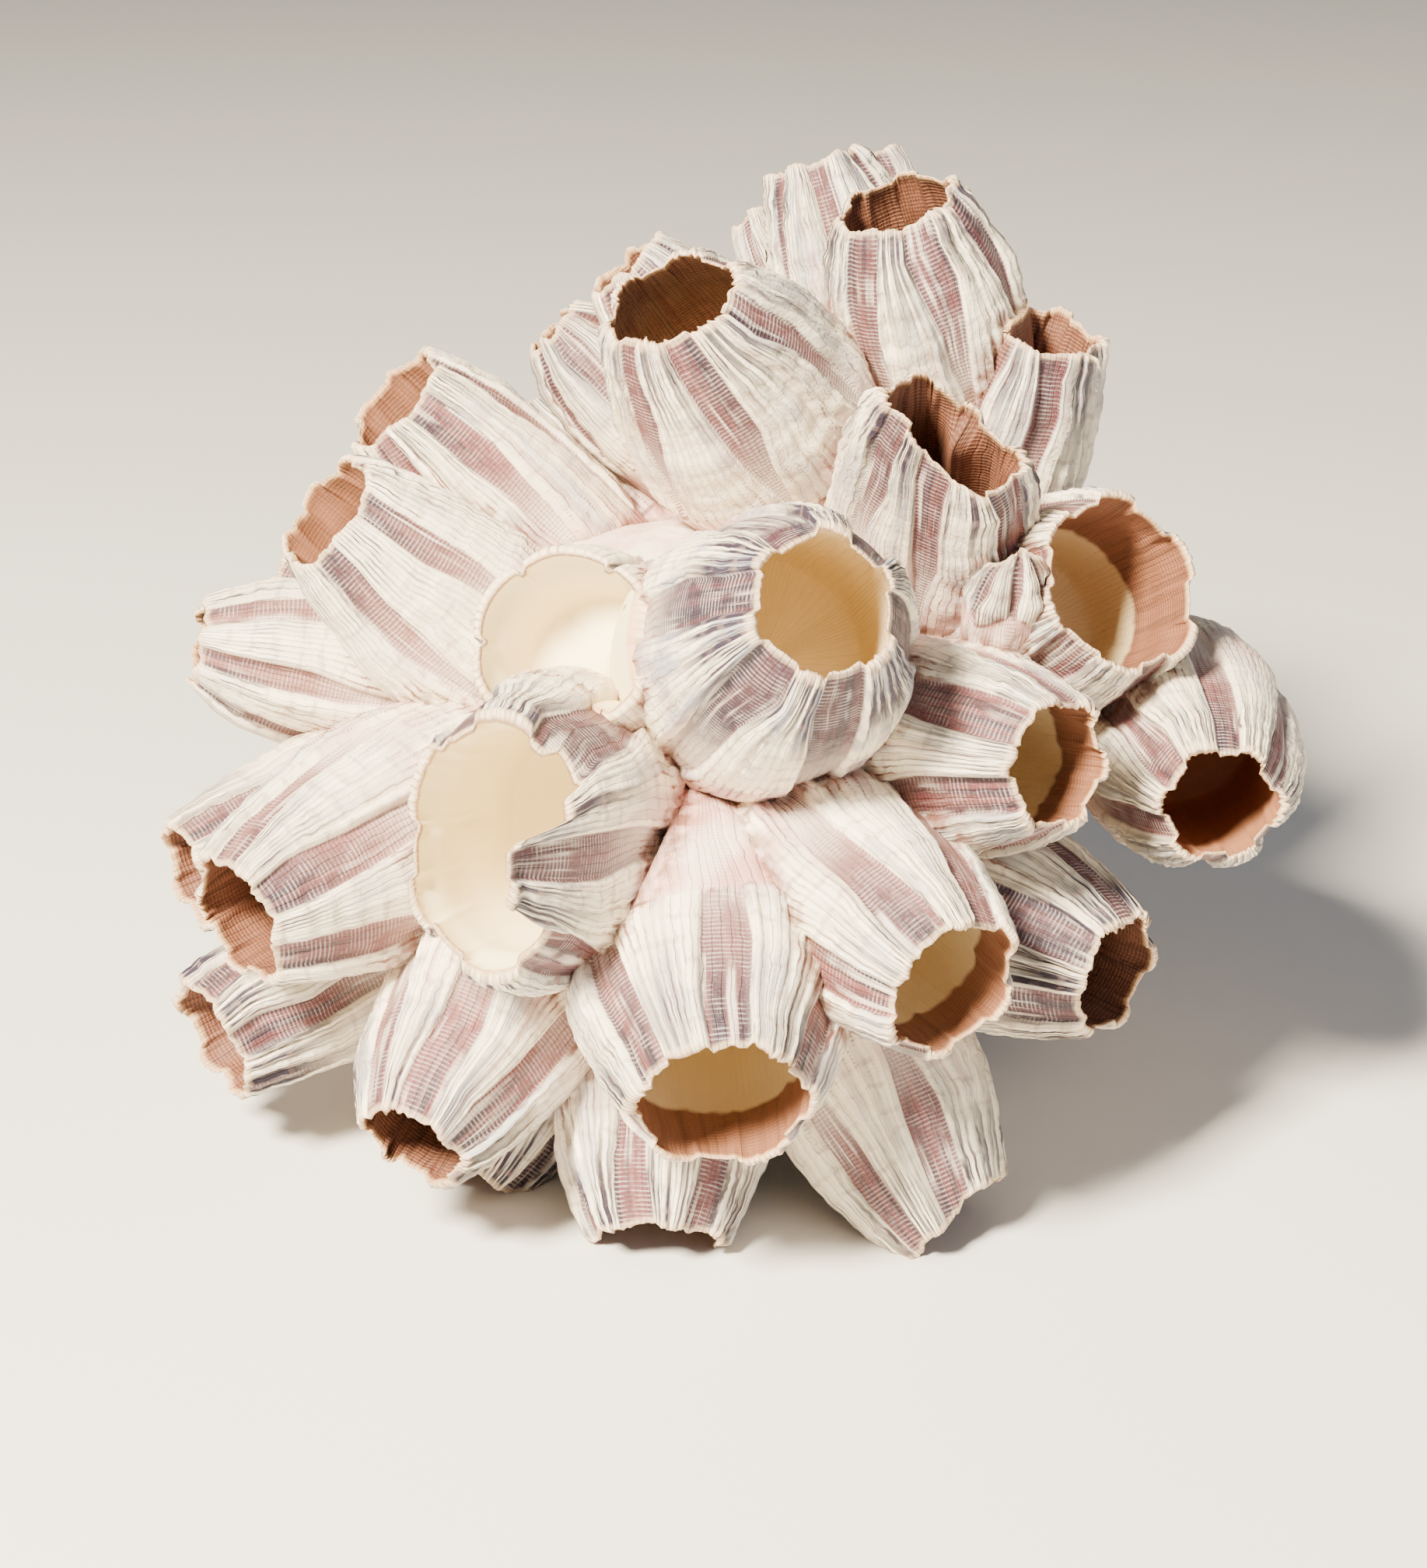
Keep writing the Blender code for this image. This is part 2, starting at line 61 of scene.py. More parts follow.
SHELLS = {
    "centre": dict(foot=(1, -8.5, 53), mouth=(10.5, -42.5, 75), lip=7.2, girth=14.3, heel=11),
    "shoulder_big": dict(
        foot=(8.5, 12.5, 72), mouth=(-5, -4, 94), lip=6.9, girth=13, heel=12,
        belly=0.3, lean=1.6, lean_at=270),
    "crown_top": dict(
        foot=(27.5, 18, 74), mouth=(19.5, 12, 101.5), lip=6.6, girth=10.3, heel=8, belly=0.55),
    "far_right": dict(foot=(50.5, 17.5, 44), mouth=(52.5, -24, 46.5), lip=6.2, girth=12, heel=8),
    "broken": dict(
        foot=(-10, -9.5, 40), mouth=(-21, -44, 50.5), lip=11, girth=14, heel=10,
        belly=0.6, tooth=0.3, oval=-0.13, lean=3, lean_at=0, floor=0.35),
    "front_low": dict(foot=(-2.5, -13.5, 40), mouth=(1, -52, 26.5), lip=8.6, girth=15, heel=10),
    "twin": dict(
        foot=(23.2, 4, 56.5), mouth=(23.2, -14.5, 84), lip=6.7, girth=9.3, heel=7.5,
        oval=0.2, oval_at=325, lean=3.8, lean_at=180, pinch=0.5),
    "right_mid": dict(foot=(9.5, -4.5, 47), mouth=(34.5, -33.5, 55), lip=6.6, girth=11.7, heel=9),
    "right_low": dict(foot=(3.5, -13, 42), mouth=(23.5, -47.5, 37), lip=7.4, girth=12.5, heel=9),
    "left_low": dict(foot=(-13.5, -7, 32.5), mouth=(-31, -40, 15.5), lip=5.8, girth=11.8, heel=9),
    "left_up": dict(
        foot=(-15.5, 0.5, 48), mouth=(-41.5, -2.5, 71.5), lip=6.6, girth=10.8, heel=9,
        lean=1.5, lean_at=180),
    "left_mid": dict(
        foot=(-19.5, -1.5, 42.5), mouth=(-49, -30.5, 36.5), lip=6.8, girth=12.2, heel=9),
    "scar": dict(
        foot=(-8.5, -8.5, 53), mouth=(-15, -27, 65.5), lip=9.4, girth=10.8, heel=10,
        belly=0.7, tooth=0.1, floor=0.55),
    "wing_wide": dict(foot=(28, 10, 50), mouth=(42.5, -13, 67), lip=9.4, girth=12.5, heel=9),
    "right_outer": dict(foot=(8, 1, 33.5), mouth=(42, -29, 29.5), lip=6.6, girth=12.2, heel=8),
    "foot_front": dict(foot=(-3.5, -5, 31), mouth=(-6, -35, 1), lip=7, girth=12.4, heel=9),
    "foot_right": dict(
        foot=(7, -6, 30), mouth=(24.5, -32, 1.5), lip=7, girth=12, heel=9,
        lean=2.5, lean_at=180),
    "left_top": dict(
        foot=(-10.5, 15.5, 53), mouth=(-35.5, 15.5, 79), lip=6.5, girth=10.2, heel=9,
        lean=1.5, lean_at=180),
    "foot_left": dict(foot=(-12, 0, 28), mouth=(-27.5, -20.5, 0.5), lip=6.5, girth=11, heel=8),
    "left_outer": dict(foot=(-24, 10, 39.5), mouth=(-57.5, -10.5, 32.5), lip=6, girth=9.2, heel=8),
    "left_under": dict(foot=(-25, 6, 24.5), mouth=(-55, -15.5, 15), lip=7, girth=9.6, heel=8),
    "left_fin": dict(foot=(-28, 10.5, 46), mouth=(-57.5, 5.5, 53.5), lip=4.6, girth=9.5, heel=7),
    "wing_up": dict(foot=(30, 16, 59.5), mouth=(36, 10.5, 88), lip=6.2, girth=8.4, heel=8),
    "crown_behind": dict(foot=(19, 28.5, 78), mouth=(11.5, 34, 101.5), lip=5, girth=8, heel=6),
    "shoulder_behind": dict(
        foot=(7.5, 21, 71.5), mouth=(-10, 21.5, 92.5), lip=4.6, girth=8, heel=6),
    "shoulder_small": dict(
        foot=(-1.5, 22.5, 68.5), mouth=(-18, 23.5, 85), lip=3.4, girth=7.3, heel=6),
    "crown_back": dict(foot=(21.5, 37.5, 79.5), mouth=(17, 47.5, 98.5), lip=5, girth=7.5, heel=6),
    "crown_side": dict(foot=(16.5, 32, 77), mouth=(6, 41.5, 94), lip=4, girth=6.5, heel=5),
    "foot_back_right": dict(foot=(7, 6, 30), mouth=(24, 30, 1), lip=7, girth=11.5, heel=9),
    "foot_back_left": dict(foot=(-10, 8, 30), mouth=(-22, 32, 1), lip=6.5, girth=11, heel=9),
    "back_mid": dict(foot=(-3, 18, 42), mouth=(-4, 52, 44), lip=7, girth=13, heel=10),
    "back_right": dict(foot=(12, 14, 48), mouth=(38, 40, 54), lip=6.5, girth=12, heel=9),
    "back_left": dict(foot=(-16, 12, 42), mouth=(-42, 34, 46), lip=6, girth=11, heel=9),
    "back_upper": dict(foot=(2, 22, 54), mouth=(5, 50, 67), lip=6.5, girth=10.5, heel=8),
    "back_low_right": dict(foot=(8, 14, 34), mouth=(30, 42, 22), lip=7, girth=12, heel=9),
    "back_low_left": dict(foot=(-12, 14, 32), mouth=(-32, 42, 20), lip=6.5, girth=12, heel=9),
    "back_wing": dict(foot=(26, 20, 50), mouth=(46, 44, 38), lip=6, girth=10, heel=8),
    "back_crown": dict(foot=(26, 24, 66), mouth=(30, 46, 78), lip=5.2, girth=8.2, heel=6),
    "under_right": dict(foot=(10, 4, 30), mouth=(35, 12, 9), lip=6.3, girth=10.5, heel=8),
    "nook_back": dict(foot=(-2, 22, 56), mouth=(-20, 38.5, 70), lip=5, girth=8, heel=7),
    "left_bud": dict(foot=(-32, 17, 46), mouth=(-50.5, 19.5, 56.5), lip=4, girth=6.5, heel=5),
    "wing_bud": dict(
        foot=(30, -12, 59), mouth=(31.2, -16, 70.5), lip=2.6, girth=4.4, heel=4,
        tooth=0.2, lean=2, lean_at=270),
    "nook_bud": dict(
        foot=(-7, 0, 57), mouth=(-9.5, -11.5, 66.5), lip=2.6, girth=5, heel=5, tooth=0.15),
}

# The fused bases: the middle and radius of each lump.
BASE_LUMPS = (
    ((-3, 4, 42), 25),
    ((-3, 10, 26), 18),
    ((-20, 8, 46), 17),
    ((20, 14, 62), 18),
    ((31, 14, 48), 15),
    ((44, 17, 45), 11),
    ((16, 27, 74), 12),
)
print("shells:", len(SHELLS), "base lumps:", len(BASE_LUMPS))

# %% [markdown]
# ## The plan of one shell
# An acorn barnacle's wall is six plates. Between two plates runs a sunken, finely
# lined strip, a point near the foot and widest at the rim. A plate ends in a raised
# tip and a strip in a low edge, which is why the mouth looks like a worn crown. The
# six seams and tips are drawn by chance from the shell's own name, so each run gives
# the same shells.

# %% The parts that all shells share
PLATES = 6
SEAM_JITTER = 0.09
TIP_HEIGHTS = (0.5, 1.3)
TURN = 2 * math.pi


def shell_frame(shell):
    """Return a shell's foot, length, and three directions: level, upward and its axis."""
    foot = np.array(shell["foot"], float) + SHIFT
    mouth = np.array(shell["mouth"], float) + SHIFT
    length = np.linalg.norm(mouth - foot)
    axis = (mouth - foot) / length
    level = np.cross((0, 0, 1), axis)
    level /= np.linalg.norm(level)
    return foot, length, level, np.cross(axis, level), axis


def plate_traits(name):
    """Return the places of the six seams, in turns, and the height of the six tips."""
    chance = random.Random(name)
    start = chance.uniform(0, 1 / PLATES)
    shifts = [chance.uniform(-SEAM_JITTER, SEAM_JITTER) for _ in range(PLATES)]
    seams = [start + (k + shift) / PLATES for k, shift in enumerate(shifts)]
    tips = [chance.uniform(*TIP_HEIGHTS) for _ in range(PLATES)]
    return np.array(seams), np.array(tips)


for name in ("centre", "broken"):
    seams, tips = plate_traits(name)
    print(name, "seams at", np.round(seams, 2), "tips", np.round(tips, 2))

# %% The plain outline, and random hills
BELLY_AT = 0.45
ELLIPSE_SHARE, CONE_SHARE = 0.7, 0.3
CONE_POWER = 1.4


def outer_radius(shell, along):
    """Return the plain radius: a quarter sine from heel to girth, then a curve to the lip.

    The curve is mostly an ellipse and partly a cone. It goes on a little past the lip.
    """
    belly = shell.get("belly", BELLY_AT)
    heel, girth, lip = shell["heel"], shell["girth"], shell["lip"]
    rising = heel + (girth - heel) * np.sin(math.pi / 2 * np.clip(along / belly, 0, 1))
    closing = np.clip((along - belly) / (1 - belly), 0, 1.5)
    reach = math.sqrt(1 - (lip / girth) ** 2)
    arc = girth * np.sqrt(np.clip(1 - (closing * reach) ** 2, 0.06, 1))
    cone = girth + (lip - girth) * closing ** CONE_POWER
    return np.where(along < belly, rising, ELLIPSE_SHARE * arc + CONE_SHARE * cone)


def ease(value, low, high):
    """Return a smooth step from 0 at low to 1 at high: three squares less two cubes."""
    part = np.clip((value - low) / (high - low), 0, 1)
    return part * part * (3 - 2 * part)


def ripple(around, along, cells_around, cells_along, chance):
    """Return smooth random hills from -1 to 1 on a lattice that closes round the shell."""
    heights = chance.uniform(-1, 1, (cells_along + 2, cells_around))
    x = (around % 1.0) * cells_around
    y = np.clip(along, 0, 1) * cells_along
    column, row = np.floor(x).astype(int), np.floor(y).astype(int)
    across, up = ease(x - column, 0, 1), ease(y - row, 0, 1)
    left, right = column % cells_around, (column + 1) % cells_around
    lower = heights[row, left] * (1 - across) + heights[row, right] * across
    upper = heights[row + 1, left] * (1 - across) + heights[row + 1, right] * across
    return lower * (1 - up) + upper * up


for name in ("centre", "broken"):
    radii = outer_radius(SHELLS[name], np.array([0.0, 0.5, 1.0]))
    print(name, "radius at foot, middle and mouth:", radii.round(1))

# %% [markdown]
# ## What makes each shell itself
# No two shells in the clump are alike: some are fluted to the tip, some are worn
# smooth, two are broken open. A few values per shell say so. In millimetres,
# "fluting" is the height of the ribs, "wall" the thickness of the wall, "sheath" how
# far down the brown lining reaches inside, and "cement" how far up a smooth pink skin
# covers the foot. "violet", "rosy" and "creamy" tint the strips and the plates, and
# "pale_inside" the hollow. "strips" is a strip's share of the rim, and "tooth" how much
# the tips stand up. "lean" slants the rim towards the angle "lean_at", "oval" stretches
# the shell towards "oval_at", and "pinch" draws the hollow in across that direction.
# "breaks" are bites out of the rim as angle, width and depth. All angles are degrees
# from the level direction. "floor" is the height of the hollow's floor as a share of
# the shell's, and "grid" how closely the surface is drawn, by how much of it is seen.

# %% One shell's own character
PLAIN = dict(
    fluting=0.2, violet=0.45, rosy=0.5, creamy=0.5, strips=0.48, wall=1.0, breaks=(),
    pale_inside=0.2, sheath=8.5, cement=7.0, tooth=0.55, lean=0.0, lean_at=0.0,
    oval=0.0, oval_at=0.0, pinch=0.0, floor=0.42, grid="coarse")

CHARACTER = {
    "centre": dict(grid="fine", fluting=0.14, violet=1.0, rosy=0.35, creamy=0.15, strips=0.56,
                   tooth=0.4, pale_inside=0.6, sheath=0.0, cement=3.0),
    "shoulder_big": dict(grid="fine", fluting=0.34, violet=0.6, rosy=0.6, strips=0.42, sheath=17.0),
    "crown_top": dict(grid="fine", fluting=0.3, violet=0.65, rosy=0.6, strips=0.54, sheath=17.0),
    "far_right": dict(grid="fine", fluting=0.18, violet=0.5, rosy=0.65, strips=0.42, tooth=0.35,
                      pale_inside=1.0, sheath=30.0),
    "broken": dict(grid="fine", fluting=0.14, violet=0.7, rosy=0.4, wall=1.5,
                   pale_inside=1.0, sheath=0.0, cement=14.0,
                   breaks=((352, 74, -6.5), (52, 30, 2.5), (150, 60, 2.0))),
    "front_low": dict(grid="fine", violet=0.5, rosy=0.75, strips=0.44, pale_inside=0.65,
                      sheath=8.0, cement=25.0),
    "twin": dict(grid="fine", fluting=0.3, violet=0.75, rosy=0.75, creamy=0.4, strips=0.5,
                 sheath=19.0),
    "right_mid": dict(grid="fine", violet=0.5, rosy=0.9, creamy=0.4, strips=0.5,
                      pale_inside=0.65, sheath=7.0),
    "right_low": dict(grid="fine", rosy=0.9, strips=0.52, pale_inside=0.65, sheath=7.0,
                      cement=12.0),
    "left_low": dict(grid="fine", fluting=0.36, rosy=1.0, creamy=0.4, strips=0.56, sheath=12.0),
    "left_up": dict(grid="fine", violet=0.25, rosy=0.35, creamy=0.8, strips=0.42, pale_inside=0.7),
    "left_mid": dict(grid="fine", violet=0.3, creamy=0.6, pale_inside=0.4, sheath=12.0),
    "scar": dict(grid="medium", fluting=0.0, violet=0.0, rosy=0.1, creamy=0.9, wall=1.4,
                 pale_inside=1.0, strips=0.05, sheath=0.0),
    "wing_wide": dict(grid="fine", fluting=0.16, violet=0.55, rosy=0.7, creamy=0.4, strips=0.44,
                      tooth=0.3, pale_inside=0.5, sheath=11.0),
    "right_outer": dict(grid="fine", fluting=0.32, violet=0.95, rosy=0.45, strips=0.54,
                        sheath=14.0),
    "foot_front": dict(grid="fine", fluting=0.45, violet=0.75, rosy=0.8, sheath=14.0),
    "foot_right": dict(grid="medium", fluting=0.32, violet=0.6, rosy=0.8, creamy=0.7, strips=0.4),
    "left_top": dict(grid="medium", fluting=0.32, violet=0.4, rosy=0.9, creamy=0.4, strips=0.5,
                     pale_inside=0.6),
    "foot_left": dict(grid="medium", violet=0.9, rosy=0.9, sheath=14.0),
    "left_outer": dict(grid="medium", rosy=0.7, creamy=0.6),
    "left_under": dict(grid="medium", fluting=0.32, violet=0.8, rosy=0.7, creamy=0.7, sheath=12.0),
    "left_fin": dict(fluting=0.34, violet=0.2, rosy=0.4, creamy=0.8),
    "wing_up": dict(grid="medium", fluting=0.3, violet=0.55, rosy=0.7, creamy=0.4),
    "crown_behind": dict(grid="medium", fluting=0.36, violet=0.6, rosy=0.7, creamy=0.4),
}

# Columns on a plate's face, columns in a strip, rows outside, rows inside.
GRIDS = dict(fine=(27, 11, 64, 20), medium=(19, 9, 44, 14), coarse=(11, 5, 24, 10))
FLOOR_ROWS = 4


def whole_shell(name):
    """Return a shell's place, size and character in one set of values."""
    return {**PLAIN, **CHARACTER.get(name, {}), **SHELLS[name]}


for kind, (face, strip, up, down) in GRIDS.items():
    count = sum(whole_shell(name)["grid"] == kind for name in SHELLS)
    faces = 2 * PLATES * (face + strip) * (up + down + FLOOR_ROWS + 1)
    print(kind, count, "shells of", faces, "triangles")

# %% [markdown]
# ## Columns that follow the plates
# A plate is added to at its two side edges and at the rim, so ribs, edges and streaks
# all fan out from the foot. The surface's columns do the same: a fixed number spans
# each plate's face and a fixed number each strip, however wide they are at that
# height, and they crowd together at the edges where the step is. An even grid would
# cut the slanting edges into stairs.

# %% Fan the columns out
EVEN_SHARE, SINE_SHARE = 0.45, 0.55
STRIP_STARTS, STRIP_SPAN = 0.18, 0.82
STRIP_POWER = 0.85
STRIP_LEAST = 0.012
EDGE_WANDER = 0.3
WANDER_KNOTS = 9


def spread(count):
    """Return places from -1 to 1, closer together at both ends: part even, part a sine."""
    even = np.linspace(-1, 1, count)
    return EVEN_SHARE * even + SINE_SHARE * np.sin(even * math.pi / 2)


def strip_half_width(shell, along):
    """Return half a strip's width as a share of a plate: a power of the height above its start."""
    climbed = np.clip((along - STRIP_STARTS) / STRIP_SPAN, 0.0, 1.1)
    return 0.5 * shell["strips"] * climbed ** STRIP_POWER + STRIP_LEAST


def fan_columns(shell, seams, along, chance):
    """Return, for each row and column, the angle in turns, the number and the seam share.

    The number runs from 3k - 1 to 3k + 1 over the face of plate k and on to 3k + 2
    over the strip beyond it. The seam share is the distance from the nearest plate
    edge as a share of a plate, and is negative on the face.
    """
    face, strip = GRIDS[shell["grid"]][:2]
    across, between = spread(face), (spread(strip + 2)[1:-1] + 1) / 2
    ends = np.append(seams, seams[0] + 1)
    pitches = np.diff(ends)
    heights = along.reshape(-1, 1)
    knots = chance.uniform(-1, 1, (2 * PLATES, WANDER_KNOTS))
    turns, numbers, shares = [], [], []
    half = strip_half_width(shell, heights)

    def edge(side):
        knot = np.interp(heights, np.linspace(0, 1.2, WANDER_KNOTS), knots[side])
        return half * (1 + EDGE_WANDER * knot)

    for k in range(PLATES):
        left = ends[k] + edge(2 * k) * pitches[k]
        right = ends[k + 1] - edge(2 * k + 1) * pitches[k]
        beyond = ends[k + 1] + edge((2 * k + 2) % (2 * PLATES)) * pitches[(k + 1) % PLATES]
        turns.append(left + (right - left) * (across + 1) / 2)
        shares.append(-(1 - np.abs(across)) / 2 * (right - left))
        numbers.append(np.broadcast_to(3 * k + across, turns[-1].shape))
        turns.append(right + (beyond - right) * between)
        shares.append(np.minimum(between, 1 - between) * (beyond - right))
        numbers.append(np.broadcast_to(3 * k + 1 + between, turns[-1].shape))
    return np.hstack(turns), np.hstack(numbers), np.hstack(shares)


sample = fan_columns(whole_shell("centre"), plate_traits("centre")[0], np.array([0.2, 1.0]),
                     np.random.default_rng(1))
once_round = sample[0][:, -1] - sample[0][:, 0]
print("columns:", sample[0].shape[1], "once round:", np.round(once_round, 3))

# %% [markdown]
# ## The rim
# The rim of a dead shell is never level: each plate's tip stands up, each strip's edge
# sinks, the edge is chipped all along, and the shells that carried the clump are worn
# flat where they met the ground. The rim is worked out as a height for each column. For
# the worn ones, the way up the wall stops where it first meets the ground.

# %% Rim height for each column
# Each row of CHIPS has its cells round the rim and its height in millimetres.
GROUND = 0.02
TIP_RISE = 1.0
SEAM_DROP = 0.9
STRIP_SLANT = 0.8
PLATE_SINK, PLATE_SLANT = 0.6, 0.4
CHIPS = ((34, 0.22), (80, 0.16))
CHIPS_PER_TOOTH = 1.6
RAGGED_CELLS, RAGGED = 22, 0.3
BITE_FULL, BITE_ENDS = 0.38, 0.55
WALL_STEPS = np.linspace(0.3, 1.1, 161)[:, None]
NO_STOP = 9.0


def rim_height(shell, turn, number, tips, chance):
    """Return the height over the mouth's middle: tips, slanting strips, chips, bites, lean.

    A tip is a parabola over its plate. A strip's edge is lowest where it leaves one
    plate and climbs to the next, so the rim steps down on one side of a tip only.
    """
    plate = np.clip(np.round(number / 3).astype(int), 0, PLATES - 1)
    fan = np.clip(number - 3 * plate, -1, 1)
    beyond = np.mod(number - 1, 3)
    sunk = np.where(beyond < 1, 1 - STRIP_SLANT * beyond, PLATE_SINK + PLATE_SLANT * fan)
    tooth = shell["tooth"]
    height = tooth * (TIP_RISE * tips[plate] * (1 - fan ** 2) - SEAM_DROP * sunk)
    for cells, size in CHIPS:
        height += min(1, tooth * CHIPS_PER_TOOTH) * size * ripple(turn, turn * 0, cells, 1, chance)
    for place, width, depth in shell["breaks"]:
        away = np.abs((turn * 360 - place + 180) % 360 - 180)
        ragged = 1 + RAGGED * ripple(turn, turn * 0, RAGGED_CELLS, 1, chance)
        height -= depth * (1 - ease(away * ragged, width * BITE_FULL, width * BITE_ENDS))
    return height + shell["lean"] * np.cos(turn * TURN - math.radians(shell["lean_at"]))


def stop_at_ground(shell, rim, turn):
    """Return the rim as a share of the length, cut short where the wall first meets the ground."""
    foot, length, _, upward, axis = shell_frame(shell)
    drop = outer_radius(shell, WALL_STEPS) * upward[2] * np.sin(turn * TURN)[None, :]
    under = foot[2] + WALL_STEPS * length * axis[2] + drop < GROUND
    first = np.where(under.any(axis=0), WALL_STEPS[under.argmax(axis=0), 0], NO_STOP)
    return np.minimum(rim, first)


mid_strip = 2 * float(strip_half_width(whole_shell("centre"), 0.5))
print("a strip's share of a plate at mid-height:", round(mid_strip, 2))

# %% [markdown]
# ## Crowding
# Shells that settle close together can't pass through each other. The later one grows
# round the earlier one and presses flat against it. Here that is a push: a point of the
# later shell that would lie inside an earlier one is moved straight out from that
# shell's axis, the outer wall to just under its surface and the inner wall a little
# further, so a wall stays between the two hollows. The distance to the nearest other
# shell is kept as well, because dotted brown lines gather in those creases, and the
# creases are painted darker there, partly as dirt and partly as painted shade.

# %% Push a shell off its neighbours
WALL_BETWEEN = 0.9
TUCK_AT_RIM = 0.3
TUCK_BELOW = 0.9
TUCK_FULL = 0.35
FAR = 9.0


def clearance(shell, points):
    """Return how far points lie outside a shell's plain wall, the way out, and how high up."""
    foot, length, _, _, axis = shell_frame(shell)
    offset = points - foot
    height = offset @ axis
    across = offset - height[..., None] * axis
    reach = np.linalg.norm(across, axis=-1) + 1e-6
    along = height / length
    beyond = np.maximum(np.maximum(-along, along - 1), 0) * length
    side = reach - outer_radius(shell, np.clip(along, 0, 1))
    distance = np.where(beyond > 0, np.hypot(beyond, np.maximum(side, 0)), side)
    return distance, across / reach[..., None], along


def near(first, second):
    """Tell whether two shells are close enough to touch."""
    ends = np.array(first["foot"]) + first["mouth"], np.array(second["foot"]) + second["mouth"]
    lengths = shell_frame(first)[1] + shell_frame(second)[1]
    return np.linalg.norm(ends[0] - ends[1]) / 2 < lengths / 2 + first["girth"] + second["girth"]


def crowd(name, points, inner):
    """Move points out of the shells that grew earlier. Also return how far off a crease is."""
    names = list(SHELLS)
    crease = np.full(points.shape[:-1], FAR)
    for other in names:
        if other == name or not near(SHELLS[name], SHELLS[other]):
            continue
        distance, outward, along = clearance(SHELLS[other], points)
        if names.index(other) < names.index(name):
            tuck = TUCK_AT_RIM + TUCK_BELOW * ease(1 - along, 0, TUCK_FULL)
            push = np.clip(np.where(inner, WALL_BETWEEN, -tuck) - distance, 0, None)
            points = points + push[..., None] * outward
        crease = np.minimum(crease, np.abs(distance))
    for middle, radius in BASE_LUMPS:
        outside = np.linalg.norm(points - SHIFT - middle, axis=-1) - radius
        crease = np.minimum(crease, np.abs(outside))
    return points, crease


close_by = [name for name in SHELLS if near(SHELLS[name], SHELLS["nook_bud"])]
print("shells near nook_bud:", close_by[:8])

# %% [markdown]
# ## The shell's surface
# The whole shell is one closed surface, so one grid makes it: the columns go once
# round, and the rows run up the outer wall, over the rim, down the inner wall and in
# to the middle of the floor. A Screw modifier could turn the profile, but the plates,
# ribs and bites need a radius that changes with the angle, and that is one array here.

# %% Relief of the outer wall
# RIBS are waves over a face and a share, HILLS cells round, cells up and millimetres,
# and GROWTH_STEPS a pitch and a height in millimetres and a sway.
PLATE_RISE = 0.5
SEAM_SINK = 0.7
PLATE_EDGE = (-0.28, 0.16)
CROWN, CROWN_FALL = 1.25, 0.9
RIBS = ((4.0, 1.0), (6.5, 0.8), (9.5, 0.5))
HILLS = ((9, 5, 0.4), (26, 15, 0.15), (64, 36, 0.05))
GROWTH_STEPS = ((2.7, 0.06, 1), (1.2, 0.03, 2))
LEDGE_PITCH, LEDGE_RISE, LEDGE_SINK = 7.5, 0.14, 0.1
GROWN_OVER = (-0.6, 1.4)
WOBBLE = 2.2
RIPPLE_SPAN = 1.3


def outer_relief(shell, along, turn, number, seam, line, chance):
    """Return what stands over the plain radius: raised plates, ribs, growth steps and worn hills.

    A plate is a flat crown, ribs are sines across it and growth steps are sines and
    slanting ledges up it. All of it but the hills sets in at the line where the
    smooth skin of the foot ends.
    """
    height = along / RIPPLE_SPAN
    plate = np.round(number / 3)
    fan = np.clip(number - 3 * plate, -1, 1)
    on_plate = 1 - ease(seam, *PLATE_EDGE)
    crown = CROWN - CROWN_FALL * fan ** 2
    raised = SEAM_SINK * (on_plate - 1) + PLATE_RISE * on_plate * crown
    ribs = np.zeros_like(along)
    for count, share in RIBS:
        phase = chance.uniform(0, TURN, PLATES + 1)[np.clip(plate, 0, PLATES).astype(int)]
        ribs += share * np.sin(count * math.pi * fan + phase + chance.uniform(-2, 2) * along)
    patchy = np.clip(0.6 + ripple(turn, height, 9, 6, chance), 0.1, 1.4)
    ribs *= shell["fluting"] * on_plate * patchy * ease(along, 0.1, 0.5)
    wobble = WOBBLE * ripple(turn, height, 6, 5, chance)
    climbed = along * shell_frame(shell)[1]
    growth = sum(size * np.sin(climbed * TURN / pitch + sway * wobble)
                 for pitch, size, sway in GROWTH_STEPS)
    ledge = (climbed / LEDGE_PITCH + 0.35 * wobble) % 1.0
    growth += LEDGE_RISE * ease(ledge, 0.0, 0.85) - LEDGE_SINK
    hills = sum(size * ripple(turn, height, *cells, chance) for *cells, size in HILLS)
    grown = ease(line, *GROWN_OVER)
    worn = hills * (0.45 + 0.55 * on_plate) * ease(along, 0.0, 0.2)
    return (raised * ease(along, 0.05, 0.45) + ribs + growth * on_plate) * grown + worn


# %% Relief of the inner wall
FOLLOW = 0.5
FOLLOW_DEPTH = 5
RIM_THICKNESS, THICKENING = 0.5, 1.3
NARROWING = 0.12
STEP_IN = 0.25
GROOVE = 0.25
INNER_HILLS = 0.1


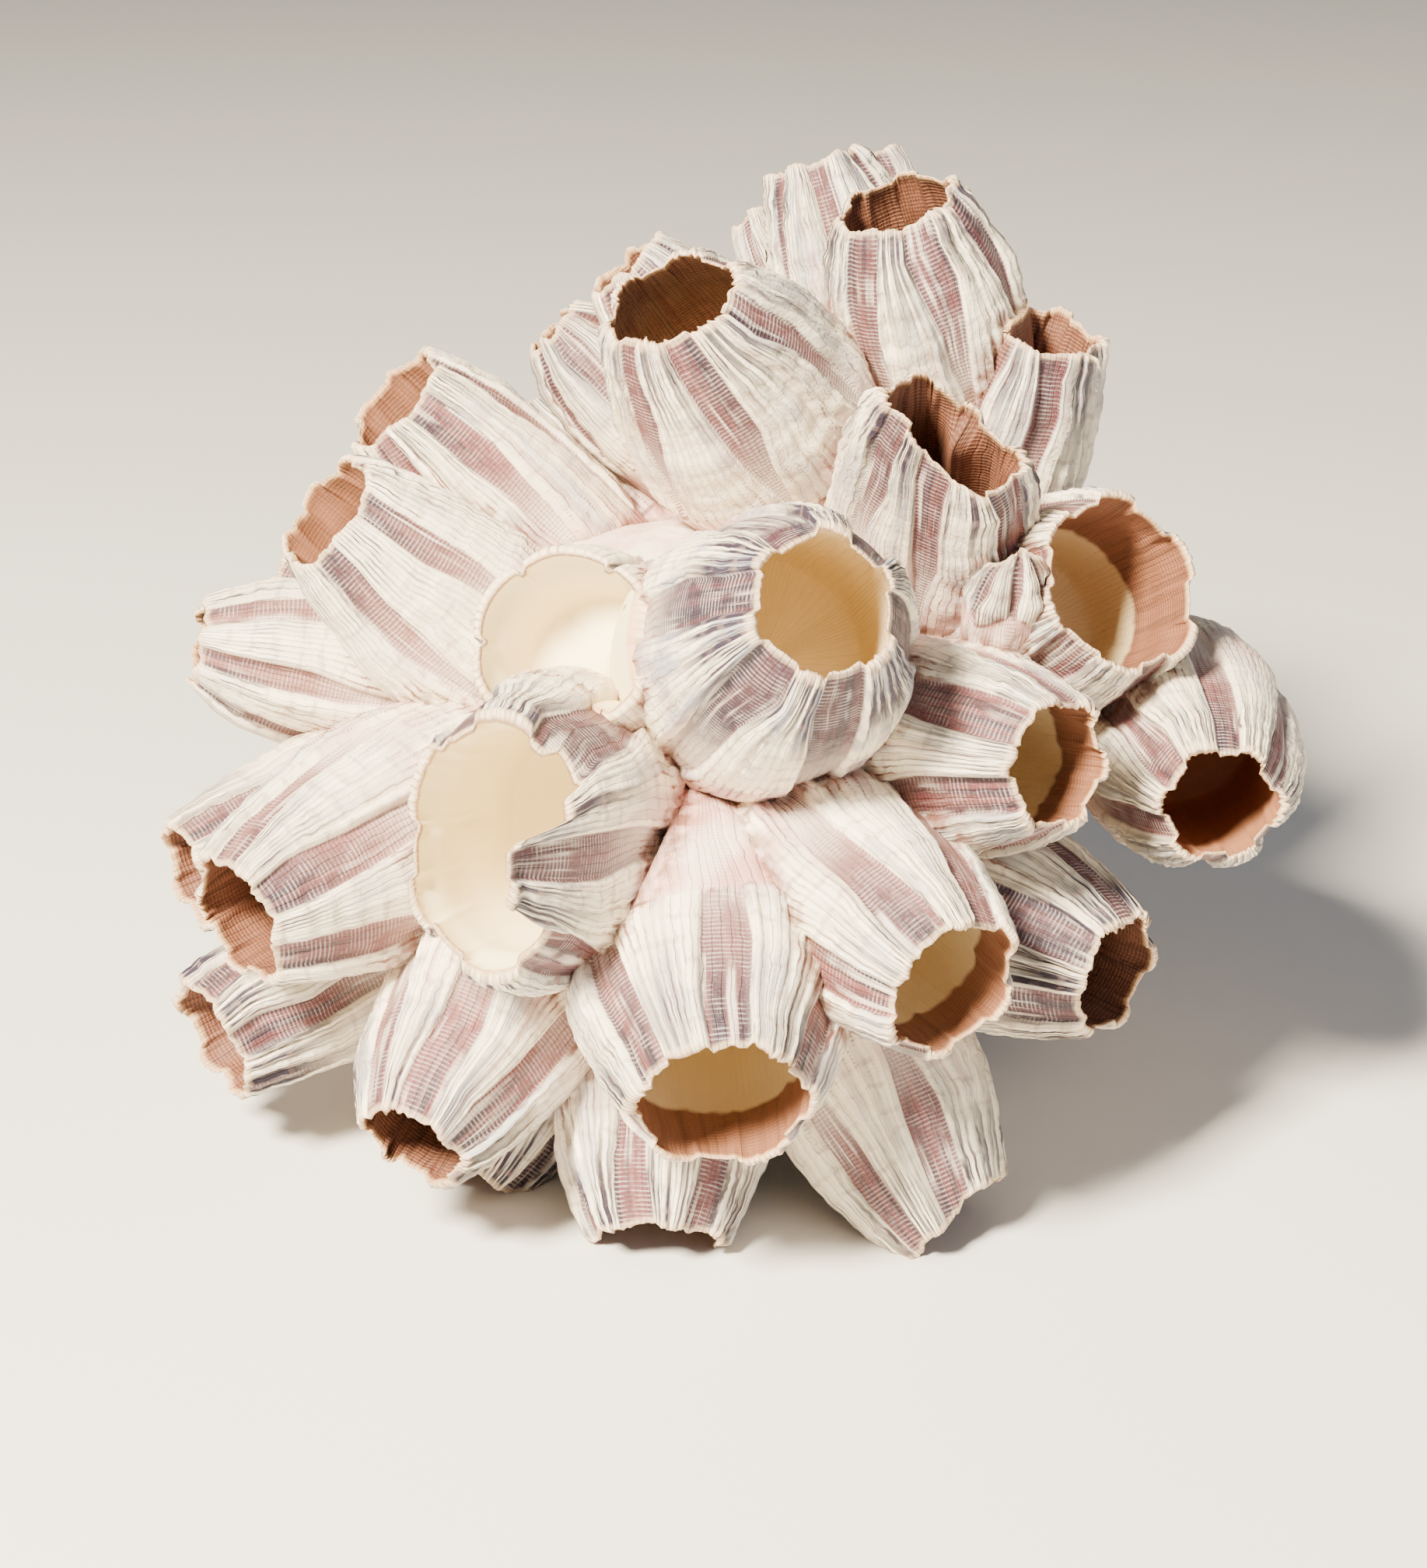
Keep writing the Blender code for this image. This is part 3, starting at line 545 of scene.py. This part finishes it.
def inner_radius(shell, along, depth, turn, seam, rim_relief, chance):
    """Return the hollow's radius: the outer one less a wall that thickens from the rim down.

    Near the rim it follows the outer relief, with a groove behind each seam. Further
    down it is a smooth cup, drawn in at two sides where a shell has a pinch.
    """
    follow = 1 - ease(depth, 0, FOLLOW_DEPTH)
    thickness = shell["wall"] * (RIM_THICKNESS + THICKENING * ease(depth, 0, 6))
    radius = outer_radius(shell, along) * (1 - NARROWING * ease(depth, 4, 16))
    carried = np.minimum(FOLLOW * rim_relief, rim_relief + 0.15) * follow
    radius += carried - thickness - STEP_IN * (1 - follow)
    groove = (1 - ease(np.abs(seam), 0, 0.8)) * ease(depth, 0.4, 2) * (1 - ease(depth, 8, 12))
    groove *= min(1, 2 * shell["tooth"])
    across = np.abs(np.cos(turn * TURN - math.radians(shell["oval_at"])))
    radius *= 1 - shell["pinch"] * (1 - ease(across, 0.0, 0.6)) * ease(depth, 0.5, 4)
    hills = INNER_HILLS * ripple(turn, along / RIPPLE_SPAN, 22, 18, chance)
    return radius + (hills * ease(depth, 0.4, 2) - GROOVE * groove)


# %% Carry the profile round
ROW_CROWDING = 1.3
LINE_WAVES = 2.2
FLOOR_SAG = 1.4
RIM_ROUNDING = 0.12


def dice(name):
    """Return random numbers that depend on a name alone."""
    return np.random.default_rng([ord(letter) for letter in name])


def shell_grid(name):
    """Return a shell's points and what its finish needs to know at each of them.

    Outer radius = plain radius + relief, up to the rim's own height for each column.
    The inner wall goes down from the rim, and the floor's radius shrinks as a cosine
    while its depth grows as a sine.
    """
    shell = whole_shell(name)
    chance = dice(name)
    seams, tips = plate_traits(name)
    foot, length, level, upward, axis = shell_frame(shell)
    outer_rows, inner_rows = GRIDS[shell["grid"]][2:]
    rim_columns = fan_columns(shell, seams, np.ones(1), dice(name + "edge"))
    rim_turn, rim_number, rim_share = (part[0] for part in rim_columns)
    rim = 1 + rim_height(shell, rim_turn, rim_number, tips, chance) / length
    rim = stop_at_ground(shell, rim, rim_turn)

    climb = 1 - (1 - np.linspace(0, 1, outer_rows)) ** ROW_CROWDING
    along = climb[:, None] * rim[None, :]
    edges = dice(name + "edge")
    turn, number, share = fan_columns(shell, seams, climb, edges)
    plain = outer_radius(shell, along)
    seam = share * TURN * plain
    waves = LINE_WAVES * ripple(turn, along / RIPPLE_SPAN, 7, 3, edges)
    line = along * length - shell["cement"] + waves
    outer = plain + outer_relief(shell, along, turn, number, seam, line, chance)

    down = np.linspace(0, 1, inner_rows)[:, None] ** ROW_CROWDING
    inside_along = rim[None, :] - (rim[None, :] - shell["floor"]) * down
    depth = (rim[None, :] - inside_along) * length
    inside_seam = rim_share[None, :] * TURN * plain[-1][None, :] * np.ones_like(depth)
    inside_turn = rim_turn[None, :] * np.ones_like(depth)
    rim_relief = (outer[-1] - plain[-1])[None, :]
    inner = inner_radius(shell, inside_along, depth, inside_turn, inside_seam, rim_relief, chance)
    closing = np.linspace(0, 1, FLOOR_ROWS + 2)[1:-1, None]
    floor_radius = inner[-1][None, :] * np.cos(closing * math.pi / 2)
    floor_along = inside_along[-1][None, :] - FLOOR_SAG / length * np.sin(closing * math.pi / 2)

    radius = np.vstack([outer, (outer[-1:] + inner[:1]) / 2, inner, floor_radius])
    rounded_rim = rim[None, :] + RIM_ROUNDING / length
    along_all = np.vstack([along, rounded_rim, inside_along, floor_along])
    past_rim = len(radius) - outer_rows
    turn_all = np.vstack([turn, np.repeat(rim_turn[None, :], past_rim, axis=0)])
    stretch = shell["oval"] * np.cos(2 * (turn_all * TURN - math.radians(shell["oval_at"])))
    reach = radius * (1 + stretch * np.clip(along_all / 0.5, 0, 1))
    points = foot + along_all[..., None] * length * axis
    points = points + (reach * np.cos(turn_all * TURN))[..., None] * level
    points = points + (reach * np.sin(turn_all * TURN))[..., None] * upward

    inside = np.zeros_like(radius)
    inside[outer_rows + 1:] = 1.0
    points, crease = crowd(name, points, inside > 0.5)
    points[..., 2] = np.maximum(points[..., 2], GROUND)
    floor_depth = np.repeat(depth[-1:], FLOOR_ROWS, axis=0)
    floor_seam = np.repeat(inside_seam[-1:], FLOOR_ROWS, axis=0)
    looks = dict(
        up=along_all * length,
        number=np.vstack([number, np.repeat(rim_number[None, :], past_rim, axis=0)]),
        seam=np.vstack([seam, inside_seam[:1], inside_seam, floor_seam]),
        below_rim=np.vstack([(rim[None, :] - along) * length, depth[:1], depth, floor_depth]),
        line=np.vstack([line, np.full((past_rim, line.shape[1]), FAR)]),
        inside=inside, crease=crease)
    return points, looks


test_points = shell_grid("centre")[0]
print("centre shell grid:", test_points.shape[:2], "lowest", test_points[..., 2].min().round(1))

# %% [markdown]
# ## From grid to mesh
# Every grid closes on itself sideways and ends in one point at the bottom and one on
# the floor of the hollow, so no edge is left open. The finish needs to know which
# column and height it is at. That goes into a UV map, because a UV may jump where the
# last column meets the first, while a value kept on the points may not.

# %% Skin a grid
NUMBERS_ROUND = 3 * PLATES
UV_HEIGHT = 100.0
UNSET = -9.0
pieces = []


def skin(name, points, first, last, looks, values):
    """Return an object whose faces join neighbouring points, with a fan to a pole at each end."""
    rows, columns = points.shape[:2]
    column = np.arange(columns)
    after = (column + 1) % columns
    row = np.arange(rows - 1)[:, None] * columns
    above = row + columns
    quads = np.stack([row + column, row + after, above + after, above + column], axis=-1)
    quads = quads.reshape(-1, 4)
    top = (rows - 1) * columns
    poles = rows * columns + np.arange(2)
    lower = np.stack([np.full(columns, poles[0]), after, column], axis=-1)
    upper = np.stack([np.full(columns, poles[1]), top + column, top + after], axis=-1)
    corners = np.concatenate([quads.ravel(), lower.ravel(), upper.ravel()])
    sizes = np.concatenate([np.full(len(quads), 4), np.full(2 * columns, 3)])

    mesh = bpy.data.meshes.new(name)
    mesh.vertices.add(rows * columns + 2)
    mesh.vertices.foreach_set("co", (np.vstack([points.reshape(-1, 3), first, last]) * MM).ravel())
    mesh.loops.add(len(corners))
    mesh.loops.foreach_set("vertex_index", corners)
    mesh.polygons.add(len(sizes))
    mesh.polygons.foreach_set("loop_start", np.concatenate([[0], np.cumsum(sizes)[:-1]]))
    mesh.polygons.foreach_set("use_smooth", np.ones(len(sizes), bool))
    mesh.update()

    number, up = looks["number"].ravel(), looks["up"].ravel()
    number = np.concatenate([number, number[:1], number[-1:]])
    up = np.concatenate([up, up[:1], up[-1:]])
    u, v = number[corners], up[corners]
    face_of = np.repeat(np.arange(len(sizes)), sizes)
    widest = np.full(len(sizes), UNSET)
    np.maximum.at(widest, face_of, np.where(corners < poles[0], u, UNSET))
    u = np.where(widest[face_of] - u > NUMBERS_ROUND / 2, u + NUMBERS_ROUND, u)
    u = np.where(corners >= poles[0], widest[face_of], u)
    flat = np.stack([(u + 1) / (NUMBERS_ROUND + 2), v / UV_HEIGHT], axis=-1)
    mesh.uv_layers.new(name="wall").data.foreach_set("uv", flat.ravel())
    for key in ("seam", "below_rim", "line", "inside", "crease"):
        known = looks[key].ravel()
        kept = mesh.attributes.new(key, "FLOAT", "POINT")
        kept.data.foreach_set("value", np.append(known, [known[0], known[-1]]))
    for key, value in values.items():
        kept = mesh.attributes.new(key, "FLOAT_VECTOR", "POINT")
        kept.data.foreach_set("vector", np.tile(value, rows * columns + 2))
    piece = bpy.data.objects.new(name, mesh)
    bpy.context.scene.collection.objects.link(piece)
    pieces.append(piece)
    return piece


# %% Make the forty-three shells
OWN_PATTERN = 3.7

for name in SHELLS:
    shell = whole_shell(name)
    points, looks = shell_grid(name)
    tint = (shell["violet"], shell["rosy"], shell["creamy"])
    mood = (shell["pale_inside"], len(pieces) * OWN_PATTERN, shell["sheath"])
    foot_pole, floor_pole = points[0].mean(axis=0), points[-1].mean(axis=0)
    piece = skin(name + "_shell", points, foot_pole, floor_pole, looks, dict(tint=tint, mood=mood))
    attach(piece, "root")
    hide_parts("barnacle_" + name)
print("shell faces:", sum(len(piece.data.polygons) for piece in pieces))

# %% [markdown]
# ## The fused bases
# Under the outer shells are the bases of older ones, cemented into one solid lump with
# a smooth, pinkish-white skin. Seven balls give its place. A ray is followed from the
# middle of the clump in every direction out to where it leaves the last ball, and the
# balls are blended softly, as lime that was laid down over them would be. Where the
# lump would show inside a shell's hollow, it is drawn back a millimetre at a time.

# %% Follow the rays out to the lumps
BASE_MIDDLE = np.array([4.0, 12.0, 48.0])
BASE_ROWS, BASE_COLUMNS = 100, 200
BLEND = 2.5
RAY_STEPS = np.linspace(2, 62, 121)
BASE_BUMPS = ((12, 0.5), (34, 0.2), (80, 0.08))


def lumps_field(points):
    """Return the soft distance to the lumps: the smallest, rounded where two are nearly equal."""
    total = np.zeros(points.shape[:-1])
    for middle, radius in BASE_LUMPS:
        total += np.exp(-(np.linalg.norm(points - middle, axis=-1) - radius) / BLEND)
    return -BLEND * np.log(total)


tilt = np.linspace(0, math.pi, BASE_ROWS + 2)[1:-1, None]
swing = np.linspace(0, TURN, BASE_COLUMNS, endpoint=False)[None, :]
ways = np.stack([np.sin(tilt) * np.cos(swing), np.sin(tilt) * np.sin(swing),
                 -np.cos(tilt) + 0 * swing], axis=-1)
straight_down, straight_up = [[[0, 0, -1.0]] * BASE_COLUMNS], [[[0, 0, 1.0]] * BASE_COLUMNS]
ways = np.concatenate([straight_down, ways, straight_up])
fields = np.stack([lumps_field(BASE_MIDDLE + ways * reach) for reach in RAY_STEPS])
leaving = len(RAY_STEPS) - 1 - (fields[::-1] < 0).argmax(axis=0)
rows, columns = np.indices(leaving.shape)
inner = fields[leaving, rows, columns]
outer = fields[np.minimum(leaving + 1, len(RAY_STEPS) - 1), rows, columns]
step = RAY_STEPS[1] - RAY_STEPS[0]
reach = RAY_STEPS[leaving] + step * np.clip(-inner / (outer - inner), 0, 1)
chance = np.random.default_rng(11)
bumps = np.zeros_like(reach)
for cells, size in BASE_BUMPS:
    bumps += size * ripple(columns / BASE_COLUMNS, rows / BASE_ROWS, cells, cells, chance)
reach += bumps * np.sin(np.linspace(0, math.pi, len(reach)))[:, None]
print("rays:", reach.shape, "from", reach.min().round(1), "to", reach.max().round(1), "mm long")

# %% Draw the lump back out of the hollows, and make it
ROOM_STEPS = 14
ROOM_WALL = 2.0

for _ in range(ROOM_STEPS):
    surface = BASE_MIDDLE + SHIFT + ways * reach[..., None]
    for name in SHELLS:
        shell = whole_shell(name)
        distance, outward, along = clearance(shell, surface)
        in_hollow = (distance < -ROOM_WALL) & (along > shell["floor"] - 0.05) & (along < 1.05)
        reach[in_hollow] -= 1.0
surface = BASE_MIDDLE + SHIFT + ways * reach[..., None]
surface[..., 2] = np.maximum(surface[..., 2], GROUND)
none = np.zeros_like(reach[1:-1])
looks = dict(number=columns[1:-1] * NUMBERS_ROUND / BASE_COLUMNS - 1, up=reach[1:-1], seam=none,
             below_rim=none, line=none, inside=none, crease=none + FAR)
base = skin("bases_lump", surface[1:-1], surface[0, 0], surface[-1, 0], looks, {})
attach(base, "root")
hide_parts("fused_bases")
low, high = surface.min(axis=(0, 1)), surface.max(axis=(0, 1))
print("bases reach", np.round(low, 1), "to", np.round(high, 1))

# %% [markdown]
# ## Finishes
# Barnacle wall is calcite with a little pigment, bleached and slightly chalky after
# death: an index near 1.6 and a rough, even shine. Two helpers serve both finishes:
# one turns a hex colour from display values into the linear ones that a renderer adds
# up, the other adds a node with its settings and links. A third paints layers, as the
# pigment lies in layers too.

# %% Colour, node and layer helpers
CALCITE_IOR = 1.6
TIMES = dict(operation="MULTIPLY")
PLUS = dict(operation="ADD")
STEP = dict(interpolation_type="SMOOTHSTEP")
BLEND_COLOURS = dict(data_type="RGBA")


def hex_colour(code):
    """Return the linear colour of an sRGB hex code."""
    linear = []
    for k in (0, 2, 4):
        part = int(code[k:k + 2], 16) / 255
        linear.append(part / 12.92 if part <= 0.04045 else ((part + 0.055) / 1.055) ** 2.4)
    return (*linear, 1.0)


def add(kind, *values, **settings):
    """Add a node to the open tree and return its first output. Values feed its inputs in order."""
    made = tree.nodes.new("ShaderNode" + kind)
    feeds = {}
    for key, value in settings.items():
        if key in made.inputs:
            feeds[key] = value
        else:
            setattr(made, key, value)
    waiting = [place for place, socket in enumerate(made.inputs) if socket.enabled]
    feeds.update(zip(waiting, values))
    for place, value in feeds.items():
        value = hex_colour(value) if isinstance(value, str) else value
        if isinstance(value, bpy.types.NodeSocket):
            tree.links.new(value, made.inputs[place])
        else:
            made.inputs[place].default_value = value
    return next(socket for socket in made.outputs if socket.enabled)


def paint(colour, layers):
    """Return a colour with layers over it.

    Each layer is a colour and one or more shares, whose product says how much of it covers.
    """
    for tone, *shares in layers:
        cover = shares[0]
        for share in shares[1:]:
            cover = add("Math", cover, share, **TIMES)
        colour = add("Mix", cover, colour, tone, **BLEND_COLOURS)
    return colour


print("cream is", [round(part, 3) for part in hex_colour("f3ece0")])

# %% [markdown]
# ## What the shell finish reads
# Patterns follow the way the wall grew. The UV map gives the column number, which fans
# out from the foot, and the height up the wall in millimetres. Noise drawn out along
# the columns makes streaks, and noise on plain millimetres makes clouds and specks.
# The fine lines across the strips are about a third of a millimetre apart. That's too
# fine for this picture, so they are drawn slightly coarser.

# %% Open the shell finish
PER_METRE = (1000, 1000, 1000)
shell_finish = bpy.data.materials.new("barnacle shell, bleached, chalky satin")
shell_finish.use_nodes = True
tree = shell_finish.node_tree
tree.nodes.clear()

uv = add("SeparateXYZ", add("UVMap", uv_map="wall")).node
number = add("Math", uv.outputs[0], float(NUMBERS_ROUND + 2), **TIMES)
up = add("Math", uv.outputs[1], UV_HEIGHT, **TIMES)
place = add("VectorMath", add("TexCoord").node.outputs["Object"], PER_METRE, **TIMES)
known = {}
for key in ("seam", "below_rim", "line", "inside", "crease"):
    known[key] = add("Attribute", attribute_name=key).node.outputs["Fac"]
tint = add("Attribute", attribute_name="tint").node.outputs["Vector"]
mood = add("Attribute", attribute_name="mood").node.outputs["Vector"]
violet, rosy, creamy = add("SeparateXYZ", tint).node.outputs
pale_inside, own, sheath = add("SeparateXYZ", mood).node.outputs
print("nodes so far:", len(tree.nodes))

# %% Streaks, clouds and specks
# Each streak has its cells per column number, its cells per millimetre up and its detail.
STREAKS = (
    ("fine", 5.0, 0.05, 3.0),
    ("broad", 2.1, 0.04, 2.0),
    ("pink", 3.4, 0.03, 2.0),
    ("waver", 1.3, 0.5, 2.0),
    ("gap", 1.7, 0.22, 2.0),
)
streaks = {}
for key, across, along, detail in STREAKS:
    spot = add("Math", number, across, **TIMES), add("Math", up, along, **TIMES), own
    drawn_out = add("CombineXYZ", *spot)
    streaks[key] = add("TexNoise", Vector=drawn_out, Scale=1.0, Detail=detail, Roughness=0.55)
patches = add("TexNoise", Vector=place, Scale=0.13, Detail=3.0)
mottle = add("TexNoise", Vector=place, Scale=0.5, Detail=4.0)
specks = add("TexNoise", Vector=place, Scale=2.6, Detail=3.0)
print("nodes so far:", len(tree.nodes))

# %% Lines, pin lines and reaches
# The pitches are millimetres, the waver is radians and the reaches are millimetres
# below the rim.
LINE_PITCH = 0.45
GROWTH_PITCH = 2.6
PINS_PER_NUMBER = 5.0
WAVER = 5.0
TIP_REACH = (16.0, 0.5)
FOOT_REACH = (10.0, 24.0)
STRIP_EDGE = (-0.10, 0.10)

waver = add("Math", streaks["waver"], WAVER, **TIMES)
waves = {}
for key, source, pitch in (
        ("lines", up, TURN / LINE_PITCH),
        ("growth", up, TURN / GROWTH_PITCH),
        ("pins", number, TURN * PINS_PER_NUMBER)):
    angle = add("Math", source, pitch, waver, operation="MULTIPLY_ADD")
    waves[key] = add("Math", angle, operation="SINE")
lines = add("MapRange", waves["lines"], -0.2, 0.9, **STEP)
growth = add("MapRange", waves["growth"], 0.5, 1.0, **STEP)
pins = add("MapRange", waves["pins"], 0.45, 0.95, **STEP)
tipward = add("MapRange", known["below_rim"], *TIP_REACH, **STEP)
footward = add("MapRange", known["below_rim"], *FOOT_REACH, **STEP)
mottled = add("MapRange", mottle, 0.38, 0.6, **STEP)
patchy = add("MapRange", patches, 0.45, 0.62, **STEP)
gaps = add("MapRange", streaks["gap"], 0.42, 0.6, **STEP)
on_strip = add("MapRange", known["seam"], *STRIP_EDGE, **STEP)
print("nodes so far:", len(tree.nodes))

# %% [markdown]
# ## The shell finish
# Cream plates clouded with blue-grey carry dark violet streaks and pin lines near the
# tips, and rusty, broken ones near the foot. The strips between them are rosy or mauve
# with the fine pale lines across. The foot is a smooth pinkish skin up to a thin brown
# line. The creases are darker brown, partly dirt and partly painted shade, and the thin
# rim is honey-coloured. The inside goes from a brown, lined sheath to pale ochre further
# down.

# %% Bleached barnacle shell, chalky satin
cloudy = add("MapRange", add("Math", patches, streaks["broad"], **PLUS), 0.95, 1.16, **STEP)
plate = paint("fdf3da", [
    ("8f96aa", cloudy, add("Math", 1.0, creamy, operation="SUBTRACT")),
    ("b97f7b", add("MapRange", streaks["pink"], 0.52, 0.7, **STEP), rosy, 0.42),
    ("e6bfb3", footward, patchy, 0.7),
    ("2f2438", add("MapRange", streaks["fine"], 0.44, 0.6, **STEP), tipward, violet, 1.5),
    ("33202b", pins, tipward, gaps, 1.0),
    ("7e3b36", pins, footward, gaps, lines, 0.9),
    ("9c8077", growth, mottled, 0.4),
])
strip = paint("a8746c", [
    ("2c2034", violet),
    ("2c1a28", tipward, add("MapRange", streaks["broad"], 0.3, 0.55, **STEP)),
    ("8c4a48", rosy, add("MapRange", streaks["pink"], 0.42, 0.58, **STEP), 0.6),
    ("e6dad6", lines, mottled, 0.36),
    ("f0e4d6", add("MapRange", streaks["fine"], 0.5, 0.64, **STEP), patchy, 0.75),
    ("f4e6d8", footward, 0.8),
])
cement = paint("f1ddd0", [
    ("d9a79c", add("MapRange", patches, 0.36, 0.62, **STEP)),
    ("b98279", add("MapRange", streaks["broad"], 0.52, 0.66, **STEP), 0.5),
])
print("nodes so far:", len(tree.nodes))

# %% The wall and the hollow
at_line = add("Math", known["line"], operation="ABSOLUTE")
wall = paint(plate, [
    (strip, on_strip),
    ("7b3a34", pins, add("MapRange", known["crease"], 6.0, 1.0, **STEP), gaps, mottled, 0.9),
    (cement, add("MapRange", known["line"], 0.4, -0.4, **STEP)),
    ("7a4238", add("MapRange", at_line, 0.45, 0.1, **STEP), gaps, 0.8),
    # Darker brown close to a neighbouring shell or the lump: partly dirt, partly painted shade in
    # the crease.
    ("7c4a36", add("MapRange", known["crease"], 2.6, 0.1, **STEP), mottled, 0.8),
    ("f0d3ae", add("MapRange", known["below_rim"], 0.7, 0.1, **STEP), 0.6),
])
ragged_depth = add("Math", known["below_rim"], mottle, **PLUS)
past_sheath = add("Math", ragged_depth, sheath, operation="SUBTRACT")
bare = paint("dcb56e", [("f6e9c2", pale_inside)])
hollow = paint("6e3f2b", [
    ("a3765a", lines, 0.5),
    ("45261a", add("MapRange", streaks["fine"], 0.48, 0.68, **STEP), 0.7),
    ("a87350", pale_inside, pale_inside, 0.8),
    (bare, add("MapRange", past_sheath, 0.0, 0.9, **STEP)),
    ("e6b98a", add("MapRange", known["below_rim"], 1.0, 0.1, **STEP), 0.8),
])
colour = paint(wall, [(hollow, known["inside"])])

# %% Relief and shine of the shell finish
relief = add("Math", lines, add("Math", on_strip, 0.05, **TIMES), **TIMES)
for wave, height in ((streaks["fine"], 0.2), (pins, -0.1), (specks, 0.1), (mottle, 0.22)):
    relief = add("Math", wave, height, relief, operation="MULTIPLY_ADD")
smooth = add("Math", 1.0, add("Math", known["inside"], pale_inside, **TIMES), operation="SUBTRACT")
bumped = add("Bump", Strength=1.0, Distance=MM, Height=add("Math", relief, smooth, **TIMES))
dullness = add("MapRange", mottle, 0.0, 1.0, 0.5, 0.75)
shader = add("BsdfPrincipled", Roughness=dullness, IOR=CALCITE_IOR, Normal=bumped,
             **{"Base Color": colour})
tree.links.new(shader, tree.nodes.new("ShaderNodeOutputMaterial").inputs["Surface"])
for piece in pieces:
    if piece is not base:
        piece.data.materials.append(shell_finish)
print("nodes in the shell finish:", len(tree.nodes))

# %% [markdown]
# ## The finish of the bases
# The lump between the shells is smoother and rosier, with pinker clouds and brown
# specks of dust scattered over it.

# %% Fused shell base, smooth and pinkish
base_finish = bpy.data.materials.new("fused shell base, pinkish white, satin")
base_finish.use_nodes = True
tree = base_finish.node_tree
tree.nodes.clear()
place = add("VectorMath", add("TexCoord").node.outputs["Object"], PER_METRE, **TIMES)
patches = add("TexNoise", Vector=place, Scale=0.16, Detail=3.0)
mottle = add("TexNoise", Vector=place, Scale=0.7, Detail=4.0)
colour = paint("efe0d2", [
    ("dcb3a6", add("MapRange", patches, 0.38, 0.68, **STEP)),
    ("8d6558", add("MapRange", mottle, 0.58, 0.75, **STEP), 0.4),
])
bumped = add("Bump", Strength=1.0, Distance=MM, Height=add("Math", mottle, 0.35, **TIMES))
shader = add("BsdfPrincipled", Roughness=0.55, IOR=CALCITE_IOR, Normal=bumped,
             **{"Base Color": colour})
tree.links.new(shader, tree.nodes.new("ShaderNodeOutputMaterial").inputs["Surface"])
base.data.materials.append(base_finish)
print("nodes in the base finish:", len(tree.nodes))

# %% [markdown]
# ## Table, light and camera
# The clump lies on a pale table under one warm lamp above the left front, small enough
# to draw crisp shadows into the ribs. A weak, wide lamp on the right and a faint glow
# from everywhere open the shadows up. The camera stands where the photograph's did, as
# far as its picture tells: a third of a metre away, looking down by 23 degrees.

# %% Table
TABLE_HALF = 1.6
matt_paint = bpy.data.materials.new("matt table paint, pale grey")
matt_paint.use_nodes = True
coat = matt_paint.node_tree.nodes["Principled BSDF"].inputs
coat["Base Color"].default_value = hex_colour("e4e2de")
coat["Roughness"].default_value = 0.8
table_mesh = bpy.data.meshes.new("table")
corners = [(x * TABLE_HALF, y * TABLE_HALF, 0) for x, y in ((-1, -1), (1, -1), (1, 1), (-1, 1))]
table_mesh.from_pydata(corners, [], [(0, 1, 2, 3)])
table_mesh.materials.append(matt_paint)
table = bpy.data.objects.new("table", table_mesh)
bpy.context.scene.collection.objects.link(table)
print("table:", 2 * TABLE_HALF, "m wide")

# %% Lamps
# Each lamp has its place and size in metres, its power in watts and its colour.
AIM = np.array([0, 0, 0.05])
SKY_GLOW = 0.22
LAMPS = (
    ("key", (-0.30, -0.41, 0.57), 0.15, 37.0, "fff0d6"),
    ("fill", (0.55, -0.45, 0.35), 0.60, 1.6, "eaf1ff"),
)
for name, spot, size, power, tone in LAMPS:
    lamp = bpy.data.lights.new(name, "AREA")
    lamp.size, lamp.energy, lamp.color = size, power, hex_colour(tone)[:3]
    holder = bpy.data.objects.new(name, lamp)
    holder.location = spot
    aim = AIM - spot
    slant = math.atan2(math.hypot(aim[0], aim[1]), -aim[2])
    holder.rotation_euler = (slant, 0, math.atan2(aim[1], aim[0]) - math.pi / 2)
    bpy.context.scene.collection.objects.link(holder)
sky = bpy.data.worlds.new("soft room light")
sky.use_nodes = True
sky.node_tree.nodes["Background"].inputs["Color"].default_value = hex_colour("f2f4f8")
sky.node_tree.nodes["Background"].inputs["Strength"].default_value = SKY_GLOW
bpy.context.scene.world = sky
print("lamps:", [name for name, *_ in LAMPS])

# %% Camera
FOCAL_LENGTH = 71.43
SENSOR_WIDTH = 36
CAMERA_AT = (-0.00086, -0.31881, 0.1727)
CAMERA_TILT = math.radians(67.3)
view = bpy.data.cameras.new("photo view")
view.lens, view.sensor_width = FOCAL_LENGTH, SENSOR_WIDTH
camera = bpy.data.objects.new("photo view", view)
camera.location = CAMERA_AT
camera.rotation_euler = (CAMERA_TILT, 0, 0)
bpy.context.scene.collection.objects.link(camera)
bpy.context.scene.camera = camera
